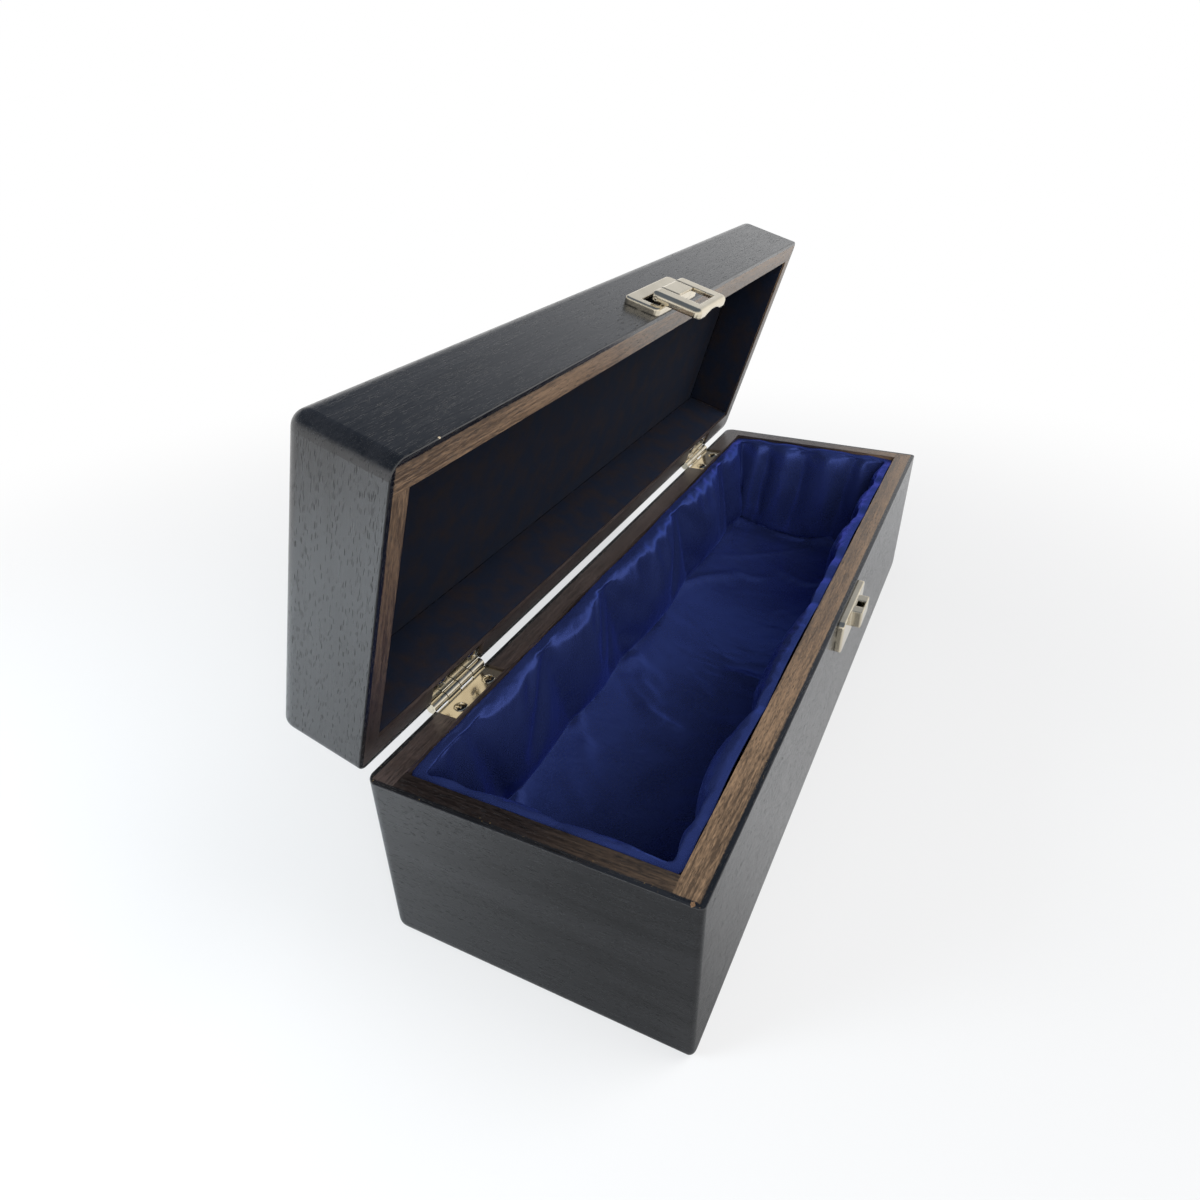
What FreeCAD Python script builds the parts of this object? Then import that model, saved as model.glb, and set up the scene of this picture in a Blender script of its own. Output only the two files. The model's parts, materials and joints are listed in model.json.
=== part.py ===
import FreeCAD, Part
import os
import re
import Sketcher

# A long presentation box in stained wood, modelled with its lid standing open.
# The frame: +X along the length, the front with the latch faces -Y, the hinges are at +Y, +Z is up,
# and the origin is the middle of the underside. Lengths are millimetres and angles are degrees.
# Pieces of the lid are modelled with the lid closed, and their Placement then swings them open.

SIZES = {
    # carcass boards
    "box_length": 374,
    "box_depth": 120,
    "base_height": 76,
    "lid_height": 34.3,
    "rim_gap": 0.4,
    "long_wall": 10.5,
    "end_wall": 9,
    # roundings: outer edges of the ends, round the outer faces of the long boards, and of the rims
    "edge_round": 5.7,
    "base_front_round": 2.2,
    "base_back_round": 5,
    "lid_front_round": 5.4,
    "lid_back_round": 4.5,
    "rim_ease": 0.5,
    # bottom and top panels, let into a rebate of the boards
    "panel_thick": 6,
    "panel_lap": 3,
    "panel_clear": 0.2,
    # butt hinges
    "hinge_back": 1.9,
    "hinge_inset": 57.4,
    "leaf_length": 33.2,
    "leaf_thick": 1,
    "leaf_strip": 1.2,
    "barrel_radius": 2.1,
    "roll_seam": 0.2,
    "knuckle_gap": 0.4,
    "knuckle_clear": 0.3,
    "pin_clear": 0.05,
    "mortise_clear": 0.3,
    # hinge screws
    "screw_spacing": 19.2,
    "screw_set": 6.5,
    "screw_head_radius": 2.8,
    "screw_head_height": 0.9,
    "screw_radius": 1.3,
    "screw_length": 9,
    "screw_point": 3,
    "screw_clear": 0.1,
    # latch plate on the lid
    "latch_width": 44.2,
    "latch_height": 15.3,
    "latch_set": 0.2,
    "latch_proud": 3.1,
    "latch_sheet": 1,
    "latch_corner": 2.4,
    "latch_edge": 0.8,
    "mouth_width": 36,
    "mouth_low": 2.2,
    "mouth_high": 9.6,
    # ears and pivot pin of the flap
    "pivot_rise": 5,
    "pivot_proud": 4.6,
    "pivot_radius": 0.6,
    "ear_radius": 1,
    "ear_sheet": 0.9,
    "ear_clear": 0.6,
    # latch flap
    "flap_width": 31.6,
    "flap_rise": 7.6,
    "flap_drop": 14.6,
    "flap_proud": 7,
    "flap_depth": 3.6,
    "flap_sheet": 1.2,
    "flap_corner": 2.4,
    "flap_bend": 1.9,
    "window_width": 16.8,
    "window_high": 0.4,
    "window_low": 11,
    "tongue_width": 14.4,
    "tongue_depth": 4,
    "tongue_bend": 0.7,
    "tongue_corner": 1.5,
    "slit_width": 1.2,
    "slit_rise": 6.4,
    "arch_width": 17,
    "arch_rise": 1.7,
    # catch plate on the base
    "catch_width": 44,
    "catch_height": 14.9,
    "catch_set": 1.9,
    "catch_proud": 3,
    "catch_sheet": 0.9,
    "catch_corner": 2.4,
    "catch_edge": 0.8,
    "hook_width": 15.6,
    "hook_high": 2.4,
    "hook_low": 10,
    "hook_proud": 7.7,
    "hook_round": 0.7,
    "eye_width": 5.4,
    "eye_depth": 3.4,
    # prongs that hold both plates in the wood
    "prong_width": 2.4,
    "prong_length": 5,
    "prong_clear": 0.1,
    # padded satin lining of the base
    "satin_thick": 4,
    "satin_drop": 5,
    "satin_clear": 0.2,
    "bed_centre": 5,
    "bed_edge": 13,
    "trough_radius": 110,
    # felt lining of the lid
    "felt_thick": 1.2,
    "felt_drop": 0.8,
    "felt_clear": 0.2,
    # how far every cut runs past the material, and how near counts as touching
    "overrun": 1,
    "tolerance": 0.001,
}
# How far the lid stands open
ANGLES = {"lid_open": 73}

# Places that several pieces share, written as expressions on the sizes.
INSIDE_X = "(box_length / 2 - end_wall)"
INSIDE_Y = "(box_depth / 2 - long_wall)"
LID_RIM = "(base_height + rim_gap)"
LID_TOP = "(base_height + rim_gap + lid_height)"
HINGE_X = "(box_length / 2 - hinge_inset)"
HINGE_Y = "(box_depth / 2 + hinge_back)"
HINGE_Z = "(base_height + rim_gap / 2)"
LEAF_EDGE = "(box_depth / 2 - long_wall + leaf_strip)"
SCREW_Y = "(box_depth / 2 - screw_set)"
PIVOT_Y = "(-box_depth / 2 - pivot_proud)"
PIVOT_Z = "(base_height + rim_gap + pivot_rise)"
FRONT = "(box_depth / 2)"
BASE = {"low": "0", "height": "base_height", "rim": "base_height", "outer": "0"}
LID = {"low": LID_RIM, "height": "lid_height", "rim": LID_RIM, "outer": LID_TOP}

doc = FreeCAD.newDocument("wine_box")
sheet = doc.addObject("Spreadsheet::Sheet", "sizes")
for row, (name, value) in enumerate((SIZES | ANGLES).items(), start=1):
    sheet.set("A%d" % row, name)
    sheet.set("B%d" % row, str(value))
    sheet.setAlias("B%d" % row, name)
doc.recompute()


def terms(text):
    """Point each size named in an expression at its cell of the sheet."""
    return re.sub(r"[a-z][a-z_]*", lambda word: "sizes." + word.group(), text)


def size(text):
    """The value that an expression on the sizes has now."""
    return float(sheet.evalExpression(terms(text)))


def bind(thing, path, text):
    thing.setExpression(path, terms(text))


lid_pose = FreeCAD.Placement(
    FreeCAD.Vector(),
    FreeCAD.Rotation(FreeCAD.Vector(1, 0, 0), -size("lid_open")),
    FreeCAD.Vector(0, size(HINGE_Y), size(HINGE_Z)),
)
sub_parts = []


def keep(piece, label, on_lid=False):
    """Name a finished sub-part and, for a piece of the lid, swing it open."""
    piece.Label = label
    if on_lid:
        piece.Placement = lid_pose
    sub_parts.append(piece)
    return piece


# Sketches and features of the PartDesign pieces


def new_sketch(body, plane, offset="0"):
    sketch = body.newObject("Sketcher::SketchObject", body.Name + "_sketch")
    support = next(item for item in body.Origin.OriginFeatures if item.Role == plane)
    sketch.AttachmentSupport = [(support, "")]
    sketch.MapMode = "FlatFace"
    bind(sketch, "AttachmentOffset.Base.z", offset)
    return sketch


def hold(sketch, kind, first, point, text):
    """Constrain a point of a sketch to the origin by a bound distance."""
    index = sketch.addConstraint(Sketcher.Constraint(kind, -1, 1, first, point, size(text)))
    bind(sketch, "Constraints[%d]" % index, text)


def rectangle(sketch, left, right, low, high):
    """Add a rectangle whose four sides are bound to expressions."""
    x_places = (size(left), size(right), size(right), size(left))
    y_places = (size(low), size(low), size(high), size(high))
    corners = [FreeCAD.Vector(x, y, 0) for x, y in zip(x_places, y_places)]
    first = sketch.GeometryCount
    for side in range(4):
        sketch.addGeometry(Part.LineSegment(corners[side], corners[(side + 1) % 4]))
    for side in range(4):
        following = first + (side + 1) % 4
        sketch.addConstraint(Sketcher.Constraint("Coincident", first + side, 2, following, 1))
        direction = "Vertical" if side % 2 else "Horizontal"
        sketch.addConstraint(Sketcher.Constraint(direction, first + side))
    hold(sketch, "DistanceX", first, 1, left)
    hold(sketch, "DistanceY", first, 1, low)
    hold(sketch, "DistanceX", first + 2, 1, right)
    hold(sketch, "DistanceY", first + 2, 1, high)


def circle(sketch, x, y, radius):
    centre = FreeCAD.Vector(size(x), size(y), 0)
    index = sketch.addGeometry(Part.Circle(centre, FreeCAD.Vector(0, 0, 1), size(radius)))
    hold(sketch, "DistanceX", index, 3, x)
    hold(sketch, "DistanceY", index, 3, y)
    limit = sketch.addConstraint(Sketcher.Constraint("Radius", index, size(radius)))
    bind(sketch, "Constraints[%d]" % limit, radius)


def pad(body, sketch, length, reverse=False):
    feature = body.newObject("PartDesign::Pad", body.Name + "_pad")
    feature.Profile = sketch
    feature.Reversed = reverse
    bind(feature, "Length", length)
    doc.recompute()


def pocket(body, sketch, depth, reverse=False, both_ways=False):
    """Cut a sketch into the body, and check that it took material away."""
    before = body.Shape.Volume
    feature = body.newObject("PartDesign::Pocket", body.Name + "_pocket")
    feature.Profile = sketch
    feature.Reversed = reverse
    feature.Midplane = both_ways
    bind(feature, "Length", depth)
    doc.recompute()
    if not body.Shape.Volume < before:
        raise ValueError("a pocket of %s cuts nothing" % body.Label)


def lies(edge, axis, text):
    """Whether an edge lies in the plane across an axis at this place."""
    place = size(text)
    ends = (getattr(edge.BoundBox, axis + "Min"), getattr(edge.BoundBox, axis + "Max"))
    return all(abs(end - place) < size("tolerance") for end in ends)


def flat(edge, axis):
    """Whether an edge has no extent along an axis."""
    return getattr(edge.BoundBox, axis + "Length") < size("tolerance")


def fillet(body, radius, wanted):
    tip = body.Tip
    names = ["Edge%d" % (index + 1) for index, edge in enumerate(tip.Shape.Edges) if wanted(edge)]
    feature = body.newObject("PartDesign::Fillet", body.Name + "_fillet")
    feature.Base = (tip, names)
    bind(feature, "Radius", radius)
    doc.recompute()


def board(label, left, right, near, far, low, height):
    """A rectangular piece: a rectangle in plan, padded up from its lower face."""
    body = doc.addObject("PartDesign::Body", label)
    sketch = new_sketch(body, "XY_Plane", low)
    rectangle(sketch, left, right, near, far)
    pad(body, sketch, height)
    return body


# Carcass: long boards run the whole length, and the end boards sit between them.


def cut_rebate(body, carcass):
    """The recess that takes the panel, cut from the outer face into a board."""
    sketch = new_sketch(body, "XY_Plane", carcass["outer"])
    reach_x = INSIDE_X + " + panel_lap"
    reach_y = INSIDE_Y + " + panel_lap"
    rectangle(sketch, "-(%s)" % reach_x, reach_x, "-(%s)" % reach_y, reach_y)
    pocket(body, sketch, "panel_thick", reverse=carcass is BASE)


def long_wall(label, side, carcass, face_round):
    """A front (side -1) or back (side 1) board, rounded at its ends and round its outer face."""
    outer_y = "%d * box_depth / 2" % side
    inner_y = "%d * %s" % (side, INSIDE_Y)
    near, far = (outer_y, inner_y) if side < 0 else (inner_y, outer_y)
    body = board(label, "-box_length / 2", "box_length / 2", near, far, carcass["low"], carcass["height"])
    outer, rim = carcass["outer"], carcass["rim"]
    fillet(body, "edge_round", lambda edge: lies(edge, "Z", outer) and flat(edge, "X"))
    fillet(body, face_round, lambda edge: lies(edge, "Y", outer_y) and not lies(edge, "Z", rim))
    fillet(body, "rim_ease", lambda edge: lies(edge, "Z", rim) and not lies(edge, "Y", inner_y))
    cut_rebate(body, carcass)
    return body


def end_wall(label, side, carcass):
    """A left (side -1) or right (side 1) board between the long boards."""
    outer_x = "%d * box_length / 2" % side
    inner_x = "%d * %s" % (side, INSIDE_X)
    left, right = (outer_x, inner_x) if side < 0 else (inner_x, outer_x)
    body = board(label, left, right, "-" + INSIDE_Y, INSIDE_Y, carcass["low"], carcass["height"])
    for radius, level in (("edge_round", carcass["outer"]), ("rim_ease", carcass["rim"])):
        fillet(body, radius, lambda edge: lies(edge, "Z", level) and lies(edge, "X", outer_x))
    cut_rebate(body, carcass)
    return body


def cut_mortises(body, carcass):
    """Seats for the hinge leaves in a back board's rim, with holes for the screws."""
    upwards = carcass is LID
    seat_depth = "barrel_radius - rim_gap / 2"
    seats = new_sketch(body, "XY_Plane", carcass["rim"])
    holes = new_sketch(body, "XY_Plane", carcass["rim"])
    for side in (-1, 1):
        middle = "%d * %s" % (side, HINGE_X)
        reach = "leaf_length / 2 + mortise_clear"
        rectangle(seats, "%s - (%s)" % (middle, reach), "%s + %s" % (middle, reach),
                  LEAF_EDGE + " - mortise_clear", "box_depth / 2 + overrun")
        for end in (-1, 1):
            place = "%s + %d * screw_spacing / 2" % (middle, end)
            circle(holes, place, SCREW_Y, "screw_radius + screw_clear")
    pocket(body, seats, seat_depth, reverse=upwards)
    pocket(body, holes, seat_depth + " - leaf_thick + screw_length + screw_clear", reverse=upwards)


def cut_prong_slots(body, kind, middle):
    """Slots in a front board for the two prongs of the latch or catch plate."""
    sketch = new_sketch(body, "XZ_Plane", FRONT)
    for side in (-1, 1):
        inner = "%s_width / 2 - prong_clear - %s_sheet" % (kind, kind)
        outer = "%s_width / 2 + prong_clear" % kind
        left, right = (inner, outer) if side > 0 else ("-(%s)" % outer, "-(%s)" % inner)
        reach = "prong_width / 2 + prong_clear"
        rectangle(sketch, left, right, "%s - (%s)" % (middle, reach), "%s + %s" % (middle, reach))
    pocket(body, sketch, "prong_length + prong_clear")


def panel(label, carcass):
    """A bottom or top panel lying in the rebates, flush with the boards' outer edges."""
    reach_x = INSIDE_X + " + panel_lap - panel_clear"
    reach_y = INSIDE_Y + " + panel_lap - panel_clear"
    low = "0" if carcass is BASE else LID_TOP + " - panel_thick"
    return board(label, "-(%s)" % reach_x, reach_x, "-(%s)" % reach_y, reach_y, low, "panel_thick")


LATCH_MIDDLE = LID_RIM + " + latch_set + latch_height / 2"
CATCH_MIDDLE = "base_height - catch_set - catch_height / 2"
for prefix, carcass, plate, plate_middle in (
    ("base", BASE, "catch", CATCH_MIDDLE),
    ("lid", LID, "latch", LATCH_MIDDLE),
):
    front = long_wall(prefix + "_front_wall", -1, carcass, prefix + "_front_round")
    cut_prong_slots(front, plate, plate_middle)
    back = long_wall(prefix + "_back_wall", 1, carcass, prefix + "_back_round")
    cut_mortises(back, carcass)
    left_end = end_wall(prefix + "_left_end", -1, carcass)
    right_end = end_wall(prefix + "_right_end", 1, carcass)
    cover = panel(prefix + ("_bottom_panel" if carcass is BASE else "_top_panel"), carcass)
    for piece in (front, back, left_end, right_end, cover):
        keep(piece, piece.Name, on_lid=carcass is LID)


# Butt hinges: each leaf is a plate rolled round the pin into two of the four knuckles.


def box(name, x, y, z, length, width, height):
    piece = doc.addObject("Part::Box", name)
    for path, text in (("Placement.Base.x", x), ("Placement.Base.y", y), ("Placement.Base.z", z),
                       ("Length", length), ("Width", width), ("Height", height)):
        bind(piece, path, text)
    return piece


def rod(name, x, y, z, radius, length, axis="X"):
    """A cylinder along X or Z from the place where it starts."""
    piece = doc.addObject("Part::Cylinder", name)
    if axis == "X":
        piece.Placement.Rotation = FreeCAD.Rotation(FreeCAD.Vector(0, 1, 0), 90)
    for path, text in (("Placement.Base.x", x), ("Placement.Base.y", y), ("Placement.Base.z", z),
                       ("Radius", radius), ("Height", length)):
        bind(piece, path, text)
    return piece


def fused(name, pieces):
    result = doc.addObject("Part::MultiFuse", name)
    result.Shapes = pieces
    return result


def cut(name, base, tool):
    result = doc.addObject("Part::Cut", name)
    result.Base = base
    result.Tool = tool
    return result


def hinge_leaf(label, side, on_lid):
    """One leaf: its plate lies tangent to the barrel, under it on the base and over it on the lid."""
    start = "%d * %s - leaf_length / 2" % (side, HINGE_X)
    pitch = "leaf_length / 4"
    plate_z = HINGE_Z + (" + barrel_radius - leaf_thick" if on_lid else " - barrel_radius")
    seam_z = HINGE_Z + (" + barrel_radius - leaf_thick - roll_seam" if on_lid
                        else " - barrel_radius + leaf_thick")
    plate = box(label + "_plate", start, LEAF_EDGE, plate_z,
                "leaf_length", "%s - %s" % (HINGE_Y, LEAF_EDGE), "leaf_thick")
    barrel = rod(label + "_barrel", start, HINGE_Y, HINGE_Z, "barrel_radius", "leaf_length")
    tools = [
        rod(label + "_bore", start + " - overrun", HINGE_Y, HINGE_Z,
            "barrel_radius - leaf_thick", "leaf_length + 2 * overrun"),
        box(label + "_seam", start + " - overrun", HINGE_Y + " - barrel_radius - overrun", seam_z,
            "leaf_length + 2 * overrun", "barrel_radius + overrun", "roll_seam"),
    ]
    for knuckle in ((1, 3) if on_lid else (0, 2)):
        tools.append(box(label + "_gap",
                         "%s + %d * %s - knuckle_gap / 2" % (start, knuckle, pitch),
                         HINGE_Y + " - barrel_radius - knuckle_clear",
                         HINGE_Z + " - barrel_radius - overrun",
                         pitch + " + knuckle_gap",
                         "2 * barrel_radius + knuckle_clear + overrun",
                         "2 * barrel_radius + 2 * overrun"))
    for end in (-1, 1):
        place = "%s + leaf_length / 2 + %d * screw_spacing / 2" % (start, end)
        tools.append(rod(label + "_hole", place, SCREW_Y, plate_z + " - overrun",
                         "screw_radius + screw_clear", "leaf_thick + 2 * overrun", axis="Z"))
    return cut(label, fused(label + "_rolled", [plate, barrel]), fused(label + "_cuts", tools))


def hinge_screw(name, place, on_lid):
    """A round-head screw standing in a leaf: domed head, shank and point."""
    face = HINGE_Z + (" + barrel_radius - leaf_thick" if on_lid else " - barrel_radius + leaf_thick")
    head = doc.addObject("Part::Ellipsoid", name + "_head")
    head.Angle1 = -90 if on_lid else 0
    head.Angle2 = 0 if on_lid else 90
    for path, text in (("Placement.Base.x", place), ("Placement.Base.y", SCREW_Y),
                       ("Placement.Base.z", face), ("Radius1", "screw_head_height"),
                       ("Radius2", "screw_head_radius"), ("Radius3", "screw_head_radius")):
        bind(head, path, text)
    shank_z = face if on_lid else face + " - screw_length + screw_point"
    shank = rod(name + "_shank", place, SCREW_Y, shank_z,
                "screw_radius", "screw_length - screw_point", axis="Z")
    point = doc.addObject("Part::Cone", name + "_point")
    point_z = face + (" + screw_length - screw_point" if on_lid else " - screw_length")
    bind(point, "Radius1", "screw_radius" if on_lid else "0")
    bind(point, "Radius2", "0" if on_lid else "screw_radius")
    for path, text in (("Placement.Base.x", place), ("Placement.Base.y", SCREW_Y),
                       ("Placement.Base.z", point_z), ("Height", "screw_point")):
        bind(point, path, text)
    return fused(name, [head, shank, point])


for part_name, on_lid in (("base", False), ("lid", True)):
    screws = []
    for hand, side in (("left", -1), ("right", 1)):
        leaf_name = "hinge_%s_leaf_%s" % (part_name, hand)
        keep(hinge_leaf(leaf_name, side, on_lid), leaf_name, on_lid)
        for end in (-1, 1):
            place = "%d * %s + %d * screw_spacing / 2" % (side, HINGE_X, end)
            screws.append(hinge_screw("screw_%s" % part_name, place, on_lid))
    group = doc.addObject("Part::Compound", "hinge_%s_screws" % part_name)
    group.Links = screws
    keep(group, group.Name, on_lid)
for hand, side in (("left", -1), ("right", 1)):
    pin_start = "%d * %s - leaf_length / 2" % (side, HINGE_X)
    pin = rod("hinge_pin_" + hand, pin_start, HINGE_Y, HINGE_Z,
              "barrel_radius - leaf_thick - pin_clear", "leaf_length")
    keep(pin, pin.Name)


# Latch: boxed plates pressed from sheet, and a flap that swings on a pin between two ears.


def boxed_plate(kind, low):
    """A pressed plate with turned-down sides, open towards the wood, with a prong at each end."""
    proud, sheet_size, height = kind + "_proud", kind + "_sheet", kind + "_height"
    left, right = "-%s_width / 2" % kind, "%s_width / 2" % kind
    high = "%s + %s" % (low, height)
    face = "-(box_depth / 2 + %s)" % proud
    body = doc.addObject("PartDesign::Body", kind + "_plate")
    outline = new_sketch(body, "XZ_Plane", FRONT)
    rectangle(outline, left, right, low, high)
    pad(body, outline, proud)
    fillet(body, kind + "_corner", lambda edge: flat(edge, "X") and flat(edge, "Z"))
    fillet(body, kind + "_edge", lambda edge: lies(edge, "Y", face))
    hollow = new_sketch(body, "XZ_Plane", FRONT)
    rectangle(hollow, "%s + %s" % (left, sheet_size), "%s - %s" % (right, sheet_size),
              "%s + %s" % (low, sheet_size), "%s - %s" % (high, sheet_size))
    pocket(body, hollow, "%s - %s" % (proud, sheet_size), reverse=True)
    prongs = new_sketch(body, "XZ_Plane", FRONT)
    middle = "%s + %s / 2" % (low, height)
    prong_low, prong_high = middle + " - prong_width / 2", middle + " + prong_width / 2"
    rectangle(prongs, left, "%s + %s" % (left, sheet_size), prong_low, prong_high)
    rectangle(prongs, "%s - %s" % (right, sheet_size), right, prong_low, prong_high)
    pad(body, prongs, "prong_length", reverse=True)
    return body


def latch_plate():
    """The lid's plate: a mouth under the flap, and two ears that carry its pin."""
    body = boxed_plate("latch", LID_RIM + " + latch_set")
    mouth = new_sketch(body, "XZ_Plane", FRONT)
    rectangle(mouth, "-mouth_width / 2", "mouth_width / 2",
              LID_RIM + " + mouth_low", LID_RIM + " + mouth_high")
    pocket(body, mouth, "latch_proud + overrun", reverse=True)
    ear_outer = "flap_width / 2 - flap_sheet - ear_clear"
    ear_top = PIVOT_Z + " + ear_radius"
    ear_front = PIVOT_Y + " - ear_radius"
    for offset in (ear_outer + " - ear_sheet", "-(%s)" % ear_outer):
        ear = new_sketch(body, "YZ_Plane", offset)
        rectangle(ear, ear_front, "-(box_depth / 2 + latch_proud - latch_sheet)",
                  LID_RIM + " + latch_set + latch_sheet", ear_top)
        pad(body, ear, "ear_sheet")
    fillet(body, "ear_radius", lambda edge: lies(edge, "Y", ear_front) and lies(edge, "Z", ear_top))
    pin_hole = new_sketch(body, "YZ_Plane")
    circle(pin_hole, PIVOT_Y, PIVOT_Z, "pivot_radius + pin_clear")
    pocket(body, pin_hole, "flap_width", both_ways=True)
    return body


def latch_flap():
    """The flap: a pressed lid with turned-down rails, a window, a cut tongue and a finger lip."""
    low, high = LID_RIM + " - flap_drop", LID_RIM + " + flap_rise"
    back = "box_depth / 2 + flap_proud - flap_depth"
    under = "box_depth / 2 + flap_proud - flap_sheet"
    face = "-(box_depth / 2 + flap_proud)"
    window_top = LID_RIM + " - window_high"
    body = doc.addObject("PartDesign::Body", "latch_flap")
    outline = new_sketch(body, "XZ_Plane", back)
    rectangle(outline, "-flap_width / 2", "flap_width / 2", low, high)
    pad(body, outline, "flap_depth")
    fillet(body, "flap_corner", lambda edge: flat(edge, "X") and flat(edge, "Z"))
    fillet(body, "flap_bend", lambda edge: lies(edge, "Y", face))
    hollow = new_sketch(body, "XZ_Plane", back)
    rectangle(hollow, "-(flap_width / 2 - flap_sheet)", "flap_width / 2 - flap_sheet",
              low + " + flap_sheet", high + " + overrun")
    pocket(body, hollow, "flap_depth - flap_sheet", reverse=True)
    rail_end = new_sketch(body, "YZ_Plane")
    rectangle(rail_end, "-(%s)" % under, "-(%s) + overrun" % back,
              PIVOT_Z + " + pivot_proud - flap_proud + flap_depth", high + " + overrun")
    pocket(body, rail_end, "flap_width + overrun", both_ways=True)
    pin_hole = new_sketch(body, "YZ_Plane")
    circle(pin_hole, PIVOT_Y, PIVOT_Z, "pivot_radius + pin_clear")
    pocket(body, pin_hole, "flap_width + overrun", both_ways=True)
    window = new_sketch(body, "XZ_Plane", under)
    rectangle(window, "-window_width / 2", "window_width / 2", LID_RIM + " - window_low", window_top)
    pocket(body, window, "flap_sheet + overrun", reverse=True)
    slits = new_sketch(body, "XZ_Plane", under)
    for left, right in (("tongue_width / 2", "tongue_width / 2 + slit_width"),
                        ("-(tongue_width / 2 + slit_width)", "-tongue_width / 2")):
        rectangle(slits, left, right, window_top + " - flap_sheet", LID_RIM + " + slit_rise")
    pocket(body, slits, "flap_sheet + overrun", reverse=True)
    tongue_back = "box_depth / 2 + flap_proud - tongue_depth"
    tongue = new_sketch(body, "XZ_Plane", tongue_back)
    tongue_end = window_top + " - flap_sheet"
    rectangle(tongue, "-tongue_width / 2", "tongue_width / 2", tongue_end, window_top)
    pad(body, tongue, "tongue_depth")
    fillet(body, "tongue_corner", lambda edge: lies(edge, "Y", "-(%s)" % tongue_back) and flat(edge, "X"))
    fillet(body, "tongue_bend", lambda edge: lies(edge, "Y", face) and lies(edge, "Z", tongue_end))
    arch = new_sketch(body, "XY_Plane", low)
    arch_radius = "((arch_width / 2) ^ 2 + arch_rise ^ 2) / (2 * arch_rise)"
    circle(arch, "0", "-(%s + arch_rise - %s)" % (back, arch_radius), arch_radius)
    pocket(body, arch, "flap_sheet + overrun", reverse=True)
    return body


def catch_plate():
    """The base's plate with a hollow hook, which stands out through the flap's window."""
    body = boxed_plate("catch", "base_height - catch_set - catch_height")
    hook_top, hook_bottom = "base_height - hook_high", "base_height - hook_low"
    hook_face = "-(box_depth / 2 + hook_proud)"
    hook = new_sketch(body, "XZ_Plane", "box_depth / 2 + catch_proud - catch_sheet")
    rectangle(hook, "-hook_width / 2", "hook_width / 2", hook_bottom, hook_top)
    pad(body, hook, "hook_proud - catch_proud + catch_sheet")
    fillet(body, "hook_round", lambda edge: lies(edge, "Y", hook_face))
    hollow = new_sketch(body, "XZ_Plane", FRONT)
    rectangle(hollow, "-(hook_width / 2 - catch_sheet)", "hook_width / 2 - catch_sheet",
              hook_bottom + " + catch_sheet", hook_top + " - catch_sheet")
    pocket(body, hollow, "hook_proud - catch_sheet", reverse=True)
    eye = new_sketch(body, "XY_Plane", hook_top)
    eye_middle = "(catch_proud + hook_proud) / 2"
    rectangle(eye, "-eye_width / 2", "eye_width / 2",
              "-(box_depth / 2 + %s + eye_depth / 2)" % eye_middle,
              "-(box_depth / 2 + %s - eye_depth / 2)" % eye_middle)
    pocket(body, eye, "catch_sheet + overrun")
    return body


keep(latch_plate(), "latch_plate", on_lid=True)
keep(latch_flap(), "latch_flap", on_lid=True)
keep(catch_plate(), "catch_plate")
latch_pin = doc.addObject("PartDesign::Body", "latch_pin")
pin_end = new_sketch(latch_pin, "YZ_Plane", "-flap_width / 2")
circle(pin_end, PIVOT_Y, PIVOT_Z, "pivot_radius")
pad(latch_pin, pin_end, "flap_width")
keep(latch_pin, "latch_pin", on_lid=True)


# Linings: padded satin in the base, with a bed that dips along the middle, and thin felt in the lid.


def faces(side, inside, clear, thick):
    """The lower and higher face of a lining, laid against the inside of a wall on one side."""
    against = "%s - %s" % (inside, clear)
    if side > 0:
        return "%s - %s" % (against, thick), against
    return "-(%s)" % against, "-(%s - %s)" % (against, thick)


SATIN_FLOOR = "(panel_thick + satin_clear)"
SATIN_X = "(%s - satin_clear)" % INSIDE_X
BED_X = "(%s - 2 * satin_clear - satin_thick)" % INSIDE_X
BED_Y = "(%s - 2 * satin_clear - satin_thick)" % INSIDE_Y
satin_wall = "base_height - satin_drop - " + SATIN_FLOOR
for label, side in (("base_lining_back", 1), ("base_lining_front", -1)):
    near, far = faces(side, INSIDE_Y, "satin_clear", "satin_thick")
    keep(board(label, "-" + SATIN_X, SATIN_X, near, far, SATIN_FLOOR, satin_wall), label)
for label, side in (("base_lining_right", 1), ("base_lining_left", -1)):
    left, right = faces(side, INSIDE_X, "satin_clear", "satin_thick")
    keep(board(label, left, right, "-" + BED_Y, BED_Y, SATIN_FLOOR, satin_wall), label)
bed = box("bed_block", "-" + BED_X, "-" + BED_Y, SATIN_FLOOR, "2 * " + BED_X, "2 * " + BED_Y, "bed_edge")
trough = rod("bed_trough", "-%s - overrun" % BED_X, "0", SATIN_FLOOR + " + bed_centre + trough_radius",
             "trough_radius", "2 * (%s + overrun)" % BED_X)
keep(cut("base_lining_floor", bed, trough), "base_lining_floor")

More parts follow.
